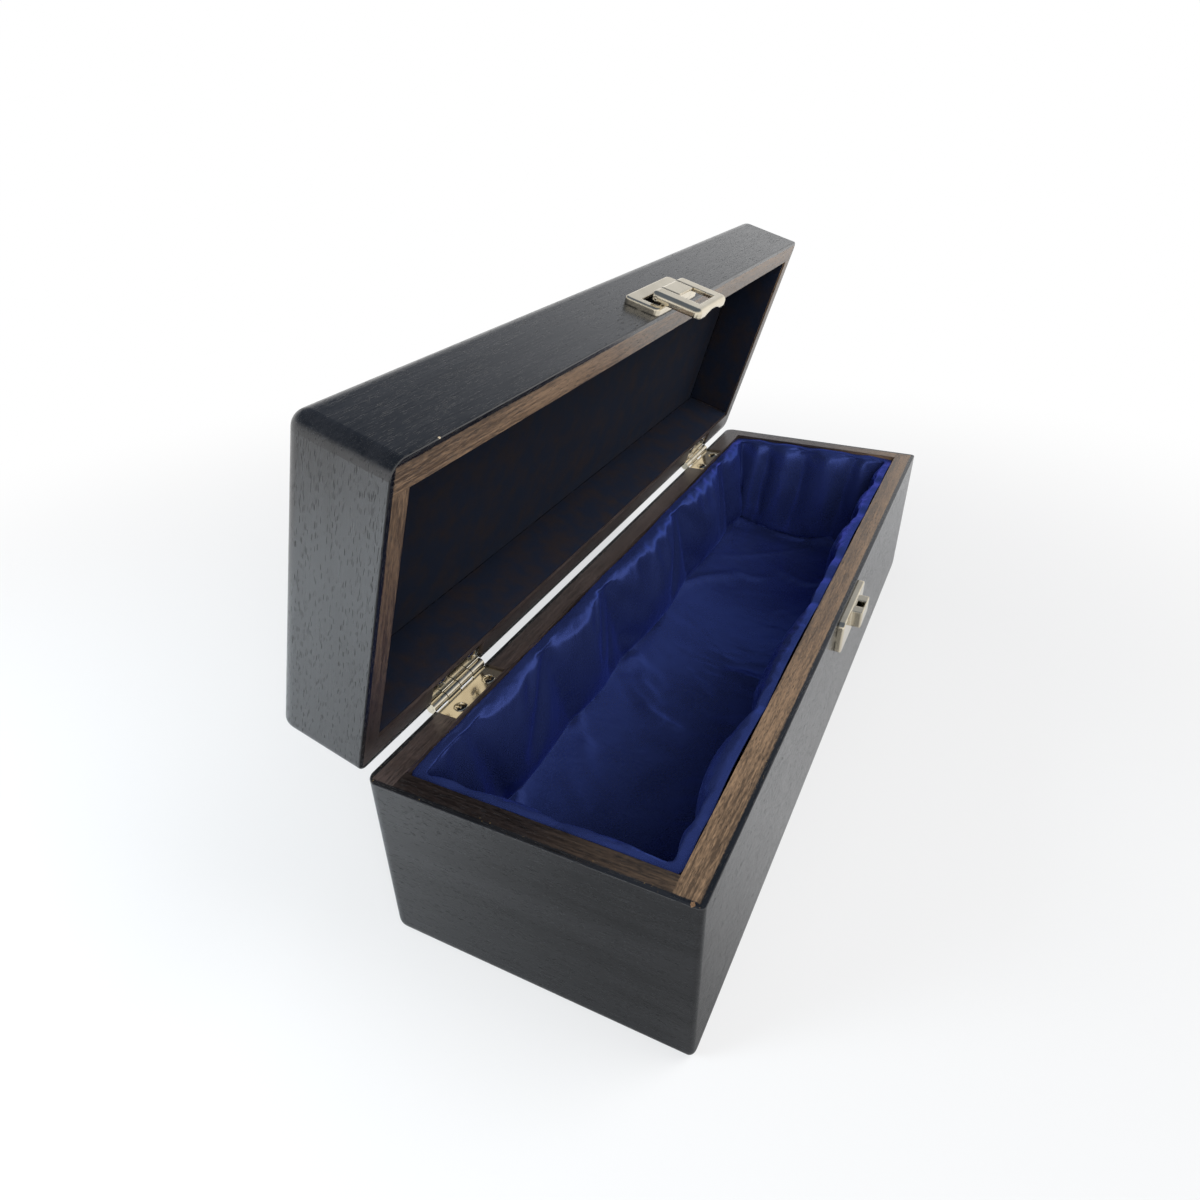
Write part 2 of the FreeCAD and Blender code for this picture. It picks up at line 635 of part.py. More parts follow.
FELT_CEILING = "(%s - panel_thick - felt_clear - felt_thick)" % LID_TOP
FELT_X = "(%s - felt_clear)" % INSIDE_X
FELT_Y = "(%s - felt_clear)" % INSIDE_Y
felt_low = LID_RIM + " + felt_drop"
felt_wall = "%s - felt_clear - (%s)" % (FELT_CEILING, felt_low)
keep(board("lid_lining_top", "-" + FELT_X, FELT_X, "-" + FELT_Y, FELT_Y, FELT_CEILING, "felt_thick"),
     "lid_lining_top", on_lid=True)
for label, side in (("lid_lining_back", 1), ("lid_lining_front", -1)):
    near, far = faces(side, INSIDE_Y, "felt_clear", "felt_thick")
    keep(board(label, "-" + FELT_X, FELT_X, near, far, felt_low, felt_wall), label, on_lid=True)
for label, side in (("lid_lining_right", 1), ("lid_lining_left", -1)):
    left, right = faces(side, INSIDE_X, "felt_clear", "felt_thick")
    reach = "(%s - felt_thick - felt_clear)" % FELT_Y
    keep(board(label, left, right, "-" + reach, reach, felt_low, felt_wall), label, on_lid=True)

# Build everything, check it, and write one file for each sub-part.

doc.recompute()
for thing in doc.Objects:
    if "Invalid" in thing.State or "Error" in thing.State:
        raise ValueError("%s did not build" % thing.Label)
for piece in sub_parts:
    if piece.Shape.isNull() or not piece.Shape.isValid() or not piece.Shape.Solids:
        raise ValueError("%s has no valid solid" % piece.Label)
os.makedirs("parts", exist_ok=True)
for piece in sub_parts:
    piece.Shape.exportStep("parts/%s.step" % piece.Label)
    print(piece.Label, len(piece.Shape.Solids), round(piece.Shape.Volume, 1))
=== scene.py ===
# %% [markdown]
# # A stained wooden wine box with a satin bed
# The box is a dark stained carcass with a hinged lid, nickel fittings, a blue satin lining below and
# dark felt above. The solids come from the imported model, which is the fixed frame of this lesson. Here
# every surface gets its finish, and the soft linings are made again as real cloth.

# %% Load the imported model
import json
import math

import bmesh
import bpy
from mathutils import Matrix, Quaternion, Vector, noise


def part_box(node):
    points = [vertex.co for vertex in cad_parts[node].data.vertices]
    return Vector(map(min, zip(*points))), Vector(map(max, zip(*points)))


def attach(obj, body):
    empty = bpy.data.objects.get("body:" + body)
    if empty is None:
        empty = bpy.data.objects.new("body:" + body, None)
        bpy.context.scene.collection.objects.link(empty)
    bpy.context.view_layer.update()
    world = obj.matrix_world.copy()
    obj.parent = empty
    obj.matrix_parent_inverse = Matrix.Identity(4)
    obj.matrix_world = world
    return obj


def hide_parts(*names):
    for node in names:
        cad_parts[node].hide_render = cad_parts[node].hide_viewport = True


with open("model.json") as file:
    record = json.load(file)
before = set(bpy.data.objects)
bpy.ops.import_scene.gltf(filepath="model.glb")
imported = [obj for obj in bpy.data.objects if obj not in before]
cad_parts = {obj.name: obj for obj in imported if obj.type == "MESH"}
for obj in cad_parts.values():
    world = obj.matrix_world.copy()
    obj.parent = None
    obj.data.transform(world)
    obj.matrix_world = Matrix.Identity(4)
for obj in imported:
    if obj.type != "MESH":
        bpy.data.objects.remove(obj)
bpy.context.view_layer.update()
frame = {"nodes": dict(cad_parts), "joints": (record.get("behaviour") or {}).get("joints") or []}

scene = bpy.context.scene
nodes = frame["nodes"]
MM = 0.001

# %% [markdown]
# ## The main places
# A piece goes where the solids say. These are the few places that the rest of the script needs: the
# carcass from the boards' own boxes, and the lid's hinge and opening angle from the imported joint. The
# lid stands open, so a point of it is described with the lid shut and then swung back by that angle.

# %% Read the carcass and the hinge
BASE_LOW, BASE_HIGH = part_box("base_front_wall")
HALF_LENGTH = BASE_HIGH.x
HALF_DEPTH = -BASE_LOW.y
BASE_RIM = BASE_HIGH.z
INSIDE_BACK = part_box("base_back_wall")[0].y
INSIDE_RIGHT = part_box("base_right_end")[0].x
lid_hinge = next(joint for joint in frame["joints"] if joint["name"] == "lid_hinge")
HINGE = Vector(lid_hinge["pos_m"])
LID_OPEN = -math.radians(lid_hinge["range_deg"][0])
SWING = Matrix.Translation(HINGE) @ Matrix.Rotation(-LID_OPEN, 4, "X") @ Matrix.Translation(-HINGE)


def corners_of(points):
    """The lowest and the highest corner of some points."""
    points = list(points)
    low = Vector([min(point[axis] for point in points) for axis in range(3)])
    high = Vector([max(point[axis] for point in points) for axis in range(3)])
    return low, high


def shut_points(name):
    """The points of a node of the lid, as they lie with the lid shut."""
    back = SWING.inverted()
    return [back @ vertex.co for vertex in nodes[name].data.vertices]


LID_RIM = corners_of(shut_points("lid_front_wall"))[0].z
LID_TOP = corners_of(shut_points("lid_front_wall"))[1].z
print("rims at", round(BASE_RIM, 4), round(LID_RIM, 4), "lid top at", round(LID_TOP, 4),
      "open", round(math.degrees(LID_OPEN), 1), "degrees")

# %% [markdown]
# ## The camera
# The viewpoint was worked out from the box's straight edges: a near, wide view from above the left
# corner. The focal length and the optical centre are given in pixels of a square picture, and the
# small shift of the lens comes from that centre.

# %% Make the camera
EYE = Vector((-0.33306, -0.10206, 0.26691))
LOOK_TURN = math.radians(62.254)
LOOK_DOWN = math.radians(32.556)
LOOK_ROLL = math.radians(1.538)
PICTURE_PIXELS = 1200
FOCAL_PIXELS = 826.19
CENTRE_PIXELS = (585.42, 622.18)
NEAREST = 10 * MM

camera_data = bpy.data.cameras.new("camera")
camera_data.lens = camera_data.sensor_width * FOCAL_PIXELS / PICTURE_PIXELS
camera_data.shift_x = 0.5 - CENTRE_PIXELS[0] / PICTURE_PIXELS
camera_data.shift_y = CENTRE_PIXELS[1] / PICTURE_PIXELS - 0.5
camera_data.clip_start = NEAREST
camera = bpy.data.objects.new("camera", camera_data)
scene.collection.objects.link(camera)
look = Vector((math.sin(LOOK_TURN) * math.cos(LOOK_DOWN),
               math.cos(LOOK_TURN) * math.cos(LOOK_DOWN), -math.sin(LOOK_DOWN)))
camera.location = EYE
camera.rotation_mode = "QUATERNION"
camera.rotation_quaternion = look.to_track_quat("-Z", "Y") @ Quaternion((0, 0, 1), -LOOK_ROLL)
scene.camera = camera
scene.view_settings.view_transform = "Standard"
print("lens", round(camera_data.lens, 2), "mm")

# %% [markdown]
# ## A short hand for node trees
# Materials are trees of nodes. Each node and link could be written out by hand, which is long and hides
# what matters. Here one helper places a node, sets its options, and fills each input with a number or
# with a link from another node, so that a material below reads like a recipe.


# %% Define the node helpers
def fill_inputs(tree, made, inputs):
    """Give each named input of a node a value or a link."""
    for socket, value in inputs.items():
        if isinstance(value, bpy.types.NodeSocket):
            tree.links.new(value, made.inputs[socket])
        else:
            made.inputs[socket].default_value = value


def place(tree, kind, inputs=None, **options):
    """Add a shader node, set its options, and fill its inputs."""
    made = tree.nodes.new("ShaderNode" + kind)
    for name, value in options.items():
        setattr(made, name, value)
    fill_inputs(tree, made, inputs or {})
    return made


def math_node(tree, operation, first, second=0.0, clamp=False):
    return place(tree, "Math", {0: first, 1: second}, operation=operation, use_clamp=clamp).outputs[0]


def ramp(tree, value, low, high, start=0.0, end=1.0, smooth=False):
    """Map a value from low..high to start..end, held at both ends."""
    kind = "SMOOTHSTEP" if smooth else "LINEAR"
    sockets = {"Value": value, "From Min": low, "From Max": high, "To Min": start, "To Max": end}
    return place(tree, "MapRange", sockets, interpolation_type=kind).outputs[0]


def mix_colour(tree, factor, first, second):
    """A mix of two colours, which a Mix node takes at its inputs 6 and 7."""
    return place(tree, "Mix", {0: factor, 6: first, 7: second}, data_type="RGBA").outputs[2]


def weighted(tree, *parts):
    """The sum of some values, each times its own share."""
    total = 0.0
    for value, share in parts:
        total = math_node(tree, "ADD", total, math_node(tree, "MULTIPLY", value, share))
    return total


def scaled_colour(tree, colour, factor):
    return place(tree, "VectorMath", {0: colour, 3: factor}, operation="SCALE").outputs[0]


def distance_to(tree, spot, centre):
    return place(tree, "VectorMath", {0: spot, 1: centre}, operation="DISTANCE").outputs["Value"]


def stretched(tree, vector, scale):
    """A place multiplied by a scale for each axis."""
    return place(tree, "VectorMath", {0: vector, 1: scale}, operation="MULTIPLY").outputs[0]


def noise_at(tree, vector, scale, detail=2.0, **more):
    """Noise with a scale for each axis."""
    spread = stretched(tree, vector, scale)
    return place(tree, "TexNoise", {"Vector": spread, "Scale": 1.0, "Detail": detail, **more}).outputs[0]


def axes_of(tree, vector):
    return place(tree, "SeparateXYZ", {0: vector}).outputs


def object_place(tree):
    return place(tree, "TexCoord").outputs["Object"]


def add_bump(tree, shader, height, strength, depth):
    """Give a shader a relief of some depth."""
    bump = place(tree, "Bump", {"Height": height, "Strength": strength, "Distance": depth})
    tree.links.new(bump.outputs[0], shader.inputs["Normal"])


print("node helpers ready")


# %% Define the helpers for groups, materials and pieces
def new_group(name, inputs, outputs):
    """An empty node group with named sockets, and the sockets of its input and output nodes."""
    tree = bpy.data.node_groups.new(name, "ShaderNodeTree")
    for title, kind in inputs.items():
        tree.interface.new_socket(title, in_out="INPUT", socket_type="NodeSocket" + kind)
    for title, kind in outputs.items():
        tree.interface.new_socket(title, in_out="OUTPUT", socket_type="NodeSocket" + kind)
    return tree, tree.nodes.new("NodeGroupInput").outputs, tree.nodes.new("NodeGroupOutput").inputs


def use_group(tree, group, inputs):
    made = tree.nodes.new("ShaderNodeGroup")
    made.node_tree = group
    fill_inputs(tree, made, inputs)
    return made.outputs


def new_material(name):
    """A material with only a Principled shader, together with its tree and that shader."""
    material = bpy.data.materials.new(name)
    material.use_nodes = True
    tree = material.node_tree
    tree.nodes.clear()
    shader = tree.nodes.new("ShaderNodeBsdfPrincipled")
    output = tree.nodes.new("ShaderNodeOutputMaterial")
    tree.links.new(shader.outputs[0], output.inputs["Surface"])
    return material, tree, shader


def dress(piece, material):
    """Give an object one material on all its faces."""
    piece.data.materials.clear()
    piece.data.materials.append(material)


def make_piece(name, shape):
    """Turn a bmesh into a smoothly shaded object of the scene."""
    for face in shape.faces:
        face.smooth = True
    mesh = bpy.data.meshes.new(name)
    shape.to_mesh(mesh)
    shape.free()
    piece = bpy.data.objects.new(name, mesh)
    scene.collection.objects.link(piece)
    return piece


print("piece helpers ready")

# %% [markdown]
# ## Floor and backdrop
# The box stands on a pale floor in front of plain white. A white floor could simply be lit until it clips,
# but that would wash out the dark wood too. So the floor keeps the box's shadow close to it, which the
# camera sees softened with a share of plain white, and turns into plain white further away, for the camera
# and for reflections only. Reflections also find a painted soft shade on the floor below the camera, like
# the shadow that its stand would leave there.

# %% Set how the floor fades
FLOOR_SIZE = 8.0
NEAR_WHITE = 0.58
FADE_CENTRE = (-0.10, 0.0, 0.0)
FADE_START = 0.24
FADE_END = 0.70
SHADE_CENTRE = (-0.30, -0.08, 0.0)
SHADE_START = 0.08
SHADE_END = 0.25
SHADE_DEPTH = 0.70
FLOOR_COLOUR = (0.62, 0.62, 0.62, 1)
WHITE = (1, 1, 1, 1)


def seen_by(tree):
    """1 for rays from the camera, and 1 for these and the rays that left a mirror or glass."""
    path = tree.nodes.new("ShaderNodeLightPath").outputs
    mirrored = math_node(tree, "ADD", path["Is Glossy Ray"], path["Is Transmission Ray"])
    return path["Is Camera Ray"], math_node(tree, "ADD", path["Is Camera Ray"], mirrored, clamp=True)


print("floor fades to white by", FADE_END, "m")

# %% Make and paint the floor
floor_shape = bmesh.new()
bmesh.ops.create_grid(floor_shape, x_segments=1, y_segments=1, size=FLOOR_SIZE / 2)
floor = make_piece("floor", floor_shape)

floor_paint, tree, shader = new_material("floor_paint")
shader.inputs["Base Color"].default_value = FLOOR_COLOUR
shader.inputs["Roughness"].default_value = 0.9
shader.inputs["Specular IOR Level"].default_value = 0.1
spot = object_place(tree)
by_camera, directly = seen_by(tree)
near_share = math_node(tree, "MULTIPLY", by_camera, NEAR_WHITE)
away = distance_to(tree, spot, FADE_CENTRE)
fade = ramp(tree, away, FADE_START, FADE_END, near_share, 1.0, smooth=True)
plain_white = place(tree, "Emission", {"Color": WHITE, "Strength": 1.0}).outputs[0]
amount = math_node(tree, "MULTIPLY", fade, directly)
blend = place(tree, "MixShader", {0: amount, 1: shader.outputs[0], 2: plain_white}).outputs[0]
# A painted shade, seen in reflections only: black is mixed into the floor around a spot below the camera
from_shade = distance_to(tree, spot, SHADE_CENTRE)
shade = ramp(tree, from_shade, SHADE_START, SHADE_END, SHADE_DEPTH, 0.0, smooth=True)
shade = math_node(tree, "MULTIPLY", shade, math_node(tree, "SUBTRACT", directly, by_camera))
black = place(tree, "Emission", {"Color": WHITE, "Strength": 0.0}).outputs[0]
blend = place(tree, "MixShader", {0: shade, 1: blend, 2: black}).outputs[0]
tree.links.new(blend, tree.nodes["Material Output"].inputs["Surface"])
dress(floor, floor_paint)
print("floor paint has", len(tree.nodes), "nodes")

# %% [markdown]
# ## Light
# Dark stain and polished nickel show mostly what they reflect, so the surroundings matter as much as
# the lamps. The camera sees plain white. Reflections see a sky that is white at the horizon and falls
# to a dim blue grey above, as in a room with tall windows. Two large window lamps stand in front and at
# the left, and a ceiling lamp fills the shadows. A small lamp close to the floor brightens the patch of
# it that the lid's near end mirrors.

# %% Make the sky
ZENITH = (0.115, 0.145, 0.20, 1)
SKY_LOW = 0.22
SKY_HIGH = 0.62
DIFFUSE_SKY = 0.46

world = bpy.data.worlds.new("studio")
world.use_nodes = True
scene.world = world
tree = world.node_tree
tree.nodes.clear()
height = axes_of(tree, place(tree, "TexCoord").outputs["Generated"])["Z"]
by_camera, directly = seen_by(tree)
dimness = math_node(tree, "SUBTRACT", ramp(tree, height, SKY_LOW, SKY_HIGH), by_camera, clamp=True)
sky = mix_colour(tree, dimness, WHITE, ZENITH)
strength = ramp(tree, directly, 0.0, 1.0, DIFFUSE_SKY, 1.0)
background = place(tree, "Background", {"Color": sky, "Strength": strength}).outputs[0]
world_output = tree.nodes.new("ShaderNodeOutputWorld")
tree.links.new(background, world_output.inputs["Surface"])
print("sky falls to", ZENITH[:3], "above")

# %% Make the room lamps
LIGHT_AIM = Vector((0, 0, 0.08))


def soft_box(name, place_at, size, power, aim=LIGHT_AIM, mirrored=False, tint=(1, 1, 1)):
    """A square lamp that faces a point, shown in reflections or not."""
    lamp = bpy.data.lights.new(name, "AREA")
    lamp.size = size
    lamp.energy = power
    lamp.color = tint
    holder = bpy.data.objects.new(name, lamp)
    scene.collection.objects.link(holder)
    holder.location = place_at
    holder.rotation_mode = "QUATERNION"
    holder.rotation_quaternion = (aim - Vector(place_at)).to_track_quat("-Z", "Y")
    holder.visible_camera = False
    holder.visible_glossy = mirrored
    return holder


WINDOW_AT = (0.35, -0.85, 1.2)
SIDE_AT = (-1.1, -0.5, 0.7)
CEILING_AT = (-0.3, 0.0, 1.5)
PATCH_AT = Vector((-0.62, 0.45, 0.0))
PATCH_LAMP_AT = PATCH_AT + Vector((0, 0, 0.38))
PATCH_TINT = (0.82, 0.92, 1.0)
LAMP_SIZE = 1.0
PATCH_LAMP_SIZE = 0.3
soft_box("window", WINDOW_AT, LAMP_SIZE, power=17)
soft_box("side_window", SIDE_AT, LAMP_SIZE, power=15)
soft_box("ceiling", CEILING_AT, LAMP_SIZE, power=2.5)
soft_box("floor_lamp", PATCH_LAMP_AT, PATCH_LAMP_SIZE, power=8, aim=PATCH_AT, tint=PATCH_TINT)

# %% [markdown]
# ## Wood grain
# Every board shares one grain: slow bands of figure, fine fibres, short flecks, and the open pores that
# break the sheen of this kind of wood. A picture of real boards could give it too, but it would repeat and
# need a file. So the grain is a group of stretched noises, long along the board and narrow across it. A
# group keeps it in one place, and each board turns it to its own length.

# %% Build the grain group
FIGURE_SCALE = (7, 95, 95)
FIBRE_SCALE = (70, 1300, 1300)
FLECK_SCALE = (380, 2000, 2000)
PORE_SCALE = (250, 3300, 3300)
PORE_PATCH_SCALE = (22, 70, 70)
ROW_SLIDE = 7.0
PORE_CORE = 0.16
PORE_EDGE = 0.36
PORE_RARE = 0.46
PORE_SURE = 0.58

wood_grain, given, result = new_group(
    "wood_grain", {"Vector": "Vector"},
    {"Figure": "Float", "Fibre": "Float", "Fleck": "Float", "Pore": "Float"})
figure = noise_at(wood_grain, given["Vector"], FIGURE_SCALE, 4.0, Roughness=0.6, Distortion=0.5)
fibre = noise_at(wood_grain, given["Vector"], FIBRE_SCALE, 3.0)
fleck = noise_at(wood_grain, given["Vector"], FLECK_SCALE, 2.0)
pore_at = stretched(wood_grain, given["Vector"], PORE_SCALE)

# Each thin row of pores is slid along the grain by its own amount, or the pores would stand in columns
row = axes_of(wood_grain, place(wood_grain, "VectorMath", {0: pore_at}, operation="FLOOR").outputs[0])
row_at = place(wood_grain, "CombineXYZ", {1: row["Y"], 2: row["Z"]}).outputs[0]
chance = place(wood_grain, "TexWhiteNoise", {"Vector": row_at}).outputs[0]
slide = math_node(wood_grain, "MULTIPLY", chance, ROW_SLIDE)
slide = place(wood_grain, "CombineXYZ", {0: slide}).outputs[0]
pore_at = place(wood_grain, "VectorMath", {0: pore_at, 1: slide}, operation="ADD").outputs[0]
cells = place(wood_grain, "TexVoronoi", {"Vector": pore_at, "Scale": 1.0}).outputs
slit = ramp(wood_grain, cells["Distance"], PORE_CORE, PORE_EDGE, 1.0, 0.0, smooth=True)
luck = axes_of(wood_grain, cells["Color"])["X"]
patch = noise_at(wood_grain, given["Vector"], PORE_PATCH_SCALE)
luck = math_node(wood_grain, "ADD", luck, ramp(wood_grain, patch, 0.35, 0.65, -0.25, 0.15))
pore = math_node(wood_grain, "MULTIPLY", slit, ramp(wood_grain, luck, PORE_RARE, PORE_SURE))
for title, value in (("Figure", figure), ("Fibre", fibre), ("Fleck", fleck), ("Pore", pore)):
    wood_grain.links.new(value, result[title])
print("grain group has", len(wood_grain.nodes), "nodes")

# %% [markdown]
# ## Where the stain ends
# The carcass was stained from outside after it was glued up. The stain covers the outer faces, the
# rounded edges and a thin line on the rim, and inside that line the rims show bare brown wood. The border
# could be painted by hand on every board. A second group measures it instead, so that it runs on from board
# to board: how far a point lies inside the outer faces gives a mask with a ragged border, and the few
# bright chips where the stain broke away along it.

# %% Build the stain border group
STAIN_REACH = 1.7 * MM
STAIN_SOFT = 0.18 * MM
CHIP_REACH = 1.2 * MM
OUTER_DEPTH = 12 * MM
RAGGED_SCALE = (900, 900, 900)
SPECK_SCALE = (1100, 1100, 1100)

stain_border, given, result = new_group(
    "stain_border", {"Vector": "Vector", "Rim": "Float", "Far": "Float"},
    {"Bare": "Float", "Chip": "Float"})


def distance_from(tree, value, plane):
    return math_node(tree, "ABSOLUTE", math_node(tree, "SUBTRACT", plane, value))


axes = axes_of(stain_border, given["Vector"])
from_end = distance_from(stain_border, math_node(stain_border, "ABSOLUTE", axes["X"]), HALF_LENGTH)
from_side = distance_from(stain_border, math_node(stain_border, "ABSOLUTE", axes["Y"]), HALF_DEPTH)
from_rim = distance_from(stain_border, axes["Z"], given["Rim"])
from_far = distance_from(stain_border, axes["Z"], given["Far"])
inward = math_node(stain_border, "MINIMUM", from_end, from_side)

# The bare wood starts inside a slightly uneven line, and never on the outer panel
ragged = noise_at(stain_border, given["Vector"], RAGGED_SCALE, 3.0)
ragged = ramp(stain_border, ragged, 0.2, 0.8, -STAIN_SOFT, STAIN_SOFT)
uneven = math_node(stain_border, "ADD", inward, ragged)
bare = ramp(stain_border, uneven, STAIN_REACH, STAIN_REACH + 4 * STAIN_SOFT, smooth=True)
off_panel = math_node(stain_border, "GREATER_THAN", from_far, OUTER_DEPTH)
bare = math_node(stain_border, "MULTIPLY", bare, off_panel)

# Chips lie along that line
specks = ramp(stain_border, noise_at(stain_border, given["Vector"], SPECK_SCALE), 0.72, 0.78)
from_border = distance_from(stain_border, inward, STAIN_REACH)
near_border = math_node(stain_border, "LESS_THAN", from_border, CHIP_REACH)
at_rim = math_node(stain_border, "LESS_THAN", from_rim, CHIP_REACH)
along_border = math_node(stain_border, "MULTIPLY", near_border, at_rim)
chip = math_node(stain_border, "MULTIPLY", specks, along_border)

stain_border.links.new(bare, result["Bare"])
stain_border.links.new(chip, result["Chip"])
print("stain border at", round(STAIN_REACH / MM, 2), "mm")

# %% [markdown]
# ## Stained boards
# The stain is nearly black and takes the light as a satin sheen, so most of what shows is reflection
# broken by grain and pores. The bare rims are rougher and brown: warm along the front, and darker towards
# the back, partly in their own tone and partly as painted shade. Two small nicks, on the near front corner
# of the base and on the edge of the lid, show raw wood. Each board gets its own material, because its grain
# follows its own length and its rim has its own brightness, lowered on the near ends partly as painted
# shade, and one function makes them all.

# %% Set the colours and the gloss of the wood
STAIN_DARK = (0.0026, 0.0028, 0.0034, 1)
STAIN_LIGHT = (0.0122, 0.0124, 0.0138, 1)
PORE_COLOUR = (0.0030, 0.0030, 0.0035, 1)
RAW_WARM = (0.18, 0.113, 0.064, 1)
RAW_DARK_AND_SHADED = (0.046, 0.033, 0.029, 1)
RAW_SHADE = 0.36
RAW_LIGHT = 1.35
# The rims of the near ends are darker, partly in their own tone and partly as painted shade
RIM_TONE_AND_SHADE = {"base_left_end": 0.30, "lid_left_end": 0.85}
SHEEN = 0.9
CHIP_COLOUR = (0.30, 0.20, 0.09, 1)
NICK_COLOUR = {False: (0.15, 0.085, 0.042, 1), True: (0.40, 0.33, 0.23, 1)}
END_SKIN = 0.8 * MM
STAIN_GLOSS = (0.18, 0.28)
BARE_GLOSS = 0.12
PORE_GLOSS = 0.5
PORE_STAIN = 0.75
END_PORES = 1.1
LONG_PORES = 0.35
FIBRE_RELIEF = 0.42
WOOD_RELIEF = 0.25 * MM
TORN_SCALE = (800, 800, 800)
NICKS = {False: (Vector((-HALF_LENGTH + 0.8 * MM, -HALF_DEPTH + 3.4 * MM, BASE_RIM - 0.3 * MM)), 1.1 * MM),
         True: (Vector((-0.1668, -HALF_DEPTH + 0.2 * MM, LID_RIM + 0.1 * MM)), 0.6 * MM)}
print("nicks of", [round(2 * radius / MM, 1) for centre, radius in NICKS.values()], "mm")


# %% Find a place and a nick on a board
def board_place(tree, on_lid):
    """The place on the object as if the lid were shut."""
    spot = object_place(tree)
    if not on_lid:
        return spot
    return place(tree, "VectorRotate", {"Vector": spot, "Center": HINGE, "Angle": LID_OPEN},
                 rotation_type="X_AXIS").outputs[0]


def nick_mask(tree, spot, on_lid):
    """1 inside the nick of the base or of the lid, with a torn outline."""
    centre, radius = NICKS[on_lid]
    torn = ramp(tree, noise_at(tree, spot, TORN_SCALE), 0.3, 0.7, -0.5 * radius, 0.5 * radius)
    away = math_node(tree, "ADD", distance_to(tree, spot, centre), torn)
    return ramp(tree, away, 0.7 * radius, 0.8 * radius, 1.0, 0.0)


def along_board(tree, spot, across):
    """The place turned so that X runs with the grain, and the depth of the pores there."""
    turned = place(tree, "VectorRotate", {"Vector": spot, "Angle": math.radians(90)},
                   rotation_type="Z_AXIS").outputs[0]
    if across:
        return turned, END_PORES
    reach = math_node(tree, "ABSOLUTE", axes_of(tree, spot)["X"])
    on_end = math_node(tree, "GREATER_THAN", reach, HALF_LENGTH - END_SKIN)
    along = place(tree, "Mix", {0: on_end, 4: spot, 5: turned}, data_type="VECTOR").outputs[1]
    return along, ramp(tree, on_end, 0.0, 1.0, LONG_PORES, END_PORES)


print("board helpers ready")


# %% Build the wood of a board
def raw_wood(tree, spot, grain, on_lid, rim_tone_and_shade):
    """The colour of the bare rims, darker towards the back partly as painted shade."""
    # The rims darken towards the back, partly in their own tone and partly as painted shade
    cold = 0.7 * HALF_DEPTH if on_lid else 0.0
    warmth_and_light = ramp(tree, axes_of(tree, spot)["Y"], cold, -0.85 * HALF_DEPTH)
    brown = mix_colour(tree, warmth_and_light, RAW_DARK_AND_SHADED, RAW_WARM)
    streaks = weighted(tree, (grain["Fibre"], 0.55), (grain["Figure"], 0.55), (grain["Fleck"], 0.5))
    light = ramp(tree, streaks, 0.66, 0.93, RAW_SHADE * rim_tone_and_shade, RAW_LIGHT * rim_tone_and_shade)
    return scaled_colour(tree, brown, light)


def board_wood(name, on_lid, across, rim_tone_and_shade):
    """Stained wood, grained along X or, on a board that lies across, along Y. A factor below 1 darkens its
    rim, partly as painted shade.
    """
    material, tree, shader = new_material(name)
    spot = board_place(tree, on_lid)
    along, pore_depth = along_board(tree, spot, across)
    grain = use_group(tree, wood_grain, {"Vector": along})
    planes = {"Rim": LID_RIM, "Far": LID_TOP} if on_lid else {"Rim": BASE_RIM, "Far": 0.0}
    border = use_group(tree, stain_border, {"Vector": spot, **planes})
    bare = border["Bare"]

    tone = weighted(tree, (grain["Figure"], 0.7), (grain["Fibre"], 0.5))
    stain = mix_colour(tree, ramp(tree, tone, 0.45, 0.80), STAIN_DARK, STAIN_LIGHT)
    colour = mix_colour(tree, bare, stain, raw_wood(tree, spot, grain, on_lid, rim_tone_and_shade))
    pore_share = math_node(tree, "MULTIPLY", grain["Pore"], PORE_STAIN)
    colour = mix_colour(tree, pore_share, colour, PORE_COLOUR)
    colour = mix_colour(tree, border["Chip"], colour, CHIP_COLOUR)
    colour = mix_colour(tree, nick_mask(tree, spot, on_lid), colour, NICK_COLOUR[on_lid])
    tree.links.new(colour, shader.inputs["Base Color"])

    gloss = ramp(tree, grain["Fibre"], 0.3, 0.7, *STAIN_GLOSS)
    gloss = weighted(tree, (gloss, 1.0), (bare, BARE_GLOSS), (grain["Pore"], PORE_GLOSS))
    tree.links.new(gloss, shader.inputs["Roughness"])
    shader.inputs["Specular IOR Level"].default_value = SHEEN

    relief = math_node(tree, "SUBTRACT", math_node(tree, "MULTIPLY", grain["Fibre"], FIBRE_RELIEF),
                       math_node(tree, "MULTIPLY", grain["Pore"], pore_depth))
    add_bump(tree, shader, relief, 0.6, WOOD_RELIEF)
    return material


print("wood recipe ready")

# %% Dress the boards
for body, on_lid in (("base", False), ("lid", True)):
    panel = "top_panel" if on_lid else "bottom_panel"
    for board in ("front_wall", "back_wall", "left_end", "right_end", panel):
        name = body + "_" + board
        wood = board_wood(name + "_wood", on_lid, board.endswith("end"), RIM_TONE_AND_SHADE.get(name, 1.0))
        dress(nodes[name], wood)
print("wood materials", sum(1 for material in bpy.data.materials if material.name.endswith("_wood")))

# %% [markdown]
# ## Nickel fittings
# The hinges, latch and catch are pressed from thin steel and plated with polished nickel, which is a
# little warmer than chrome. Polished metal is all reflection, so the material is plain, with only a
# faint clouding in its colour and its gloss. The latch and the catch are drawn deep in the press, which
# leaves round edges. The solids stay as they are, so the material rounds the shading there instead, with a
# Bevel node.

# %% Build the nickel
NICKEL_COLOUR = (0.80, 0.72, 0.565, 1)
NICKEL_SHADE = (0.72, 0.64, 0.495, 1)
CLOUD_SCALE = (120, 120, 120)
PRESSED_EDGE = 0.9 * MM


